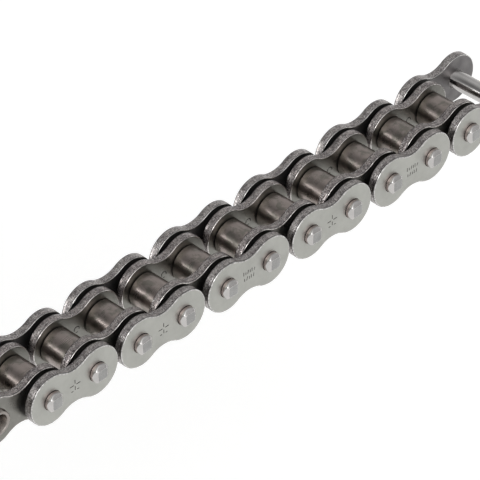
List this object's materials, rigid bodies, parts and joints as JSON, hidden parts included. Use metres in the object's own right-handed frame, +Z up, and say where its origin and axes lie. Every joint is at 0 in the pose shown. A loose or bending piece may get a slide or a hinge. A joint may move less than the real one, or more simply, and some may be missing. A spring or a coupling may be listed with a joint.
{
  "type": "roller chain",
  "caption": "Riveted single-strand roller chain section: alternating inner and outer links with waisted side plates, pressed pins and bushes, and rollers that turn freely.",
  "frame": {"origin": "under the middle of the section, on the pin centre line's vertical plane, at the height of the lowest plate edge", "axes": "+X along the chain from the open inner-link end to the open outer-link end, +Y along the pins towards the far plates, +Z up, with the plates standing on edge"},
  "size_m": [0.2054, 0.0264, 0.0149],
  "materials": {
    "outer_plate": "satin nickel-coloured steel with burnished corners",
    "inner_plate": "satin steel, blanked edges finely striated",
    "roller": "smooth ground steel with a warm tint",
    "bush": "ground steel",
    "pin": "hardened steel, staked ends",
    "seal": "black greased rubber"
  },
  "bodies": {
    "inner_link_1": {"inner_plate_near_1": "inner_plate", "inner_plate_far_1": "inner_plate", "bush_1": "bush", "bush_2": "bush"},
    "outer_link_1": {"outer_plate_near_1": "outer_plate", "outer_plate_far_1": "outer_plate", "pin_1": "pin", "pin_2": "pin"},
    "inner_link_2": {"inner_plate_near_2": "inner_plate", "inner_plate_far_2": "inner_plate", "bush_3": "bush", "bush_4": "bush"},
    "outer_link_2": {"outer_plate_near_2": "outer_plate", "outer_plate_far_2": "outer_plate", "pin_3": "pin", "pin_4": "pin"},
    "inner_link_3": {"inner_plate_near_3": "inner_plate", "inner_plate_far_3": "inner_plate", "bush_5": "bush", "bush_6": "bush"},
    "outer_link_3": {"outer_plate_near_3": "outer_plate", "outer_plate_far_3": "outer_plate", "pin_5": "pin", "pin_6": "pin"},
    "inner_link_4": {"inner_plate_near_4": "inner_plate", "inner_plate_far_4": "inner_plate", "bush_7": "bush", "bush_8": "bush"},
    "outer_link_4": {"outer_plate_near_4": "outer_plate", "outer_plate_far_4": "outer_plate", "pin_7": "pin", "pin_8": "pin"},
    "inner_link_5": {"inner_plate_near_5": "inner_plate", "inner_plate_far_5": "inner_plate", "bush_9": "bush", "bush_10": "bush"},
    "outer_link_5": {"outer_plate_near_5": "outer_plate", "outer_plate_far_5": "outer_plate", "pin_9": "pin", "pin_10": "pin"},
    "inner_link_6": {"inner_plate_near_6": "inner_plate", "inner_plate_far_6": "inner_plate", "bush_11": "bush", "bush_12": "bush"},
    "outer_link_6": {"outer_plate_near_6": "outer_plate", "outer_plate_far_6": "outer_plate", "pin_11": "pin", "pin_12": "pin"},
    "roller_1": {"roller_1": "roller"},
    "roller_2": {"roller_2": "roller"},
    "roller_3": {"roller_3": "roller"},
    "roller_4": {"roller_4": "roller"},
    "roller_5": {"roller_5": "roller"},
    "roller_6": {"roller_6": "roller"},
    "roller_7": {"roller_7": "roller"},
    "roller_8": {"roller_8": "roller"},
    "roller_9": {"roller_9": "roller"},
    "roller_10": {"roller_10": "roller"},
    "roller_11": {"roller_11": "roller"},
    "roller_12": {"roller_12": "roller"}
  },
  "joints": [
    {"name": "link_joint_1", "type": "hinge", "parent": "outer_link_1", "child": "inner_link_1", "pos_m": [-0.07938, 0, 0.00745], "axis": [0, 1, 0], "range_deg": [-40, 40]},
    {"name": "link_joint_2", "type": "hinge", "parent": "inner_link_2", "child": "outer_link_1", "pos_m": [-0.0635, 0, 0.00745], "axis": [0, 1, 0], "range_deg": [-40, 40]},
    {"name": "link_joint_3", "type": "hinge", "parent": "outer_link_2", "child": "inner_link_2", "pos_m": [-0.04763, 0, 0.00745], "axis": [0, 1, 0], "range_deg": [-40, 40]},
    {"name": "link_joint_4", "type": "hinge", "parent": "inner_link_3", "child": "outer_link_2", "pos_m": [-0.03175, 0, 0.00745], "axis": [0, 1, 0], "range_deg": [-40, 40]},
    {"name": "link_joint_5", "type": "hinge", "parent": "outer_link_3", "child": "inner_link_3", "pos_m": [-0.01588, 0, 0.00745], "axis": [0, 1, 0], "range_deg": [-40, 40]},
    {"name": "link_joint_6", "type": "hinge", "parent": "outer_link_3", "child": "inner_link_4", "pos_m": [0, 0, 0.00745], "axis": [0, 1, 0], "range_deg": [-40, 40]},
    {"name": "link_joint_7", "type": "hinge", "parent": "inner_link_4", "child": "outer_link_4", "pos_m": [0.01588, 0, 0.00745], "axis": [0, 1, 0], "range_deg": [-40, 40]},
    {"name": "link_joint_8", "type": "hinge", "parent": "outer_link_4", "child": "inner_link_5", "pos_m": [0.03175, 0, 0.00745], "axis": [0, 1, 0], "range_deg": [-40, 40]},
    {"name": "link_joint_9", "type": "hinge", "parent": "inner_link_5", "child": "outer_link_5", "pos_m": [0.04763, 0, 0.00745], "axis": [0, 1, 0], "range_deg": [-40, 40]},
    {"name": "link_joint_10", "type": "hinge", "parent": "outer_link_5", "child": "inner_link_6", "pos_m": [0.0635, 0, 0.00745], "axis": [0, 1, 0], "range_deg": [-40, 40]},
    {"name": "link_joint_11", "type": "hinge", "parent": "inner_link_6", "child": "outer_link_6", "pos_m": [0.07938, 0, 0.00745], "axis": [0, 1, 0], "range_deg": [-40, 40]},
    {"name": "roller_spin_1", "type": "hinge", "parent": "inner_link_1", "child": "roller_1", "pos_m": [-0.09525, 0, 0.00745], "axis": [0, 1, 0], "continuous": true},
    {"name": "roller_spin_2", "type": "hinge", "parent": "inner_link_1", "child": "roller_2", "pos_m": [-0.07938, 0, 0.00745], "axis": [0, 1, 0], "continuous": true},
    {"name": "roller_spin_3", "type": "hinge", "parent": "inner_link_2", "child": "roller_3", "pos_m": [-0.0635, 0, 0.00745], "axis": [0, 1, 0], "continuous": true},
    {"name": "roller_spin_4", "type": "hinge", "parent": "inner_link_2", "child": "roller_4", "pos_m": [-0.04763, 0, 0.00745], "axis": [0, 1, 0], "continuous": true},
    {"name": "roller_spin_5", "type": "hinge", "parent": "inner_link_3", "child": "roller_5", "pos_m": [-0.03175, 0, 0.00745], "axis": [0, 1, 0], "continuous": true},
    {"name": "roller_spin_6", "type": "hinge", "parent": "inner_link_3", "child": "roller_6", "pos_m": [-0.01588, 0, 0.00745], "axis": [0, 1, 0], "continuous": true},
    {"name": "roller_spin_7", "type": "hinge", "parent": "inner_link_4", "child": "roller_7", "pos_m": [0, 0, 0.00745], "axis": [0, 1, 0], "continuous": true},
    {"name": "roller_spin_8", "type": "hinge", "parent": "inner_link_4", "child": "roller_8", "pos_m": [0.01588, 0, 0.00745], "axis": [0, 1, 0], "continuous": true},
    {"name": "roller_spin_9", "type": "hinge", "parent": "inner_link_5", "child": "roller_9", "pos_m": [0.03175, 0, 0.00745], "axis": [0, 1, 0], "continuous": true},
    {"name": "roller_spin_10", "type": "hinge", "parent": "inner_link_5", "child": "roller_10", "pos_m": [0.04763, 0, 0.00745], "axis": [0, 1, 0], "continuous": true},
    {"name": "roller_spin_11", "type": "hinge", "parent": "inner_link_6", "child": "roller_11", "pos_m": [0.0635, 0, 0.00745], "axis": [0, 1, 0], "continuous": true},
    {"name": "roller_spin_12", "type": "hinge", "parent": "inner_link_6", "child": "roller_12", "pos_m": [0.07938, 0, 0.00745], "axis": [0, 1, 0], "continuous": true}
  ]
}
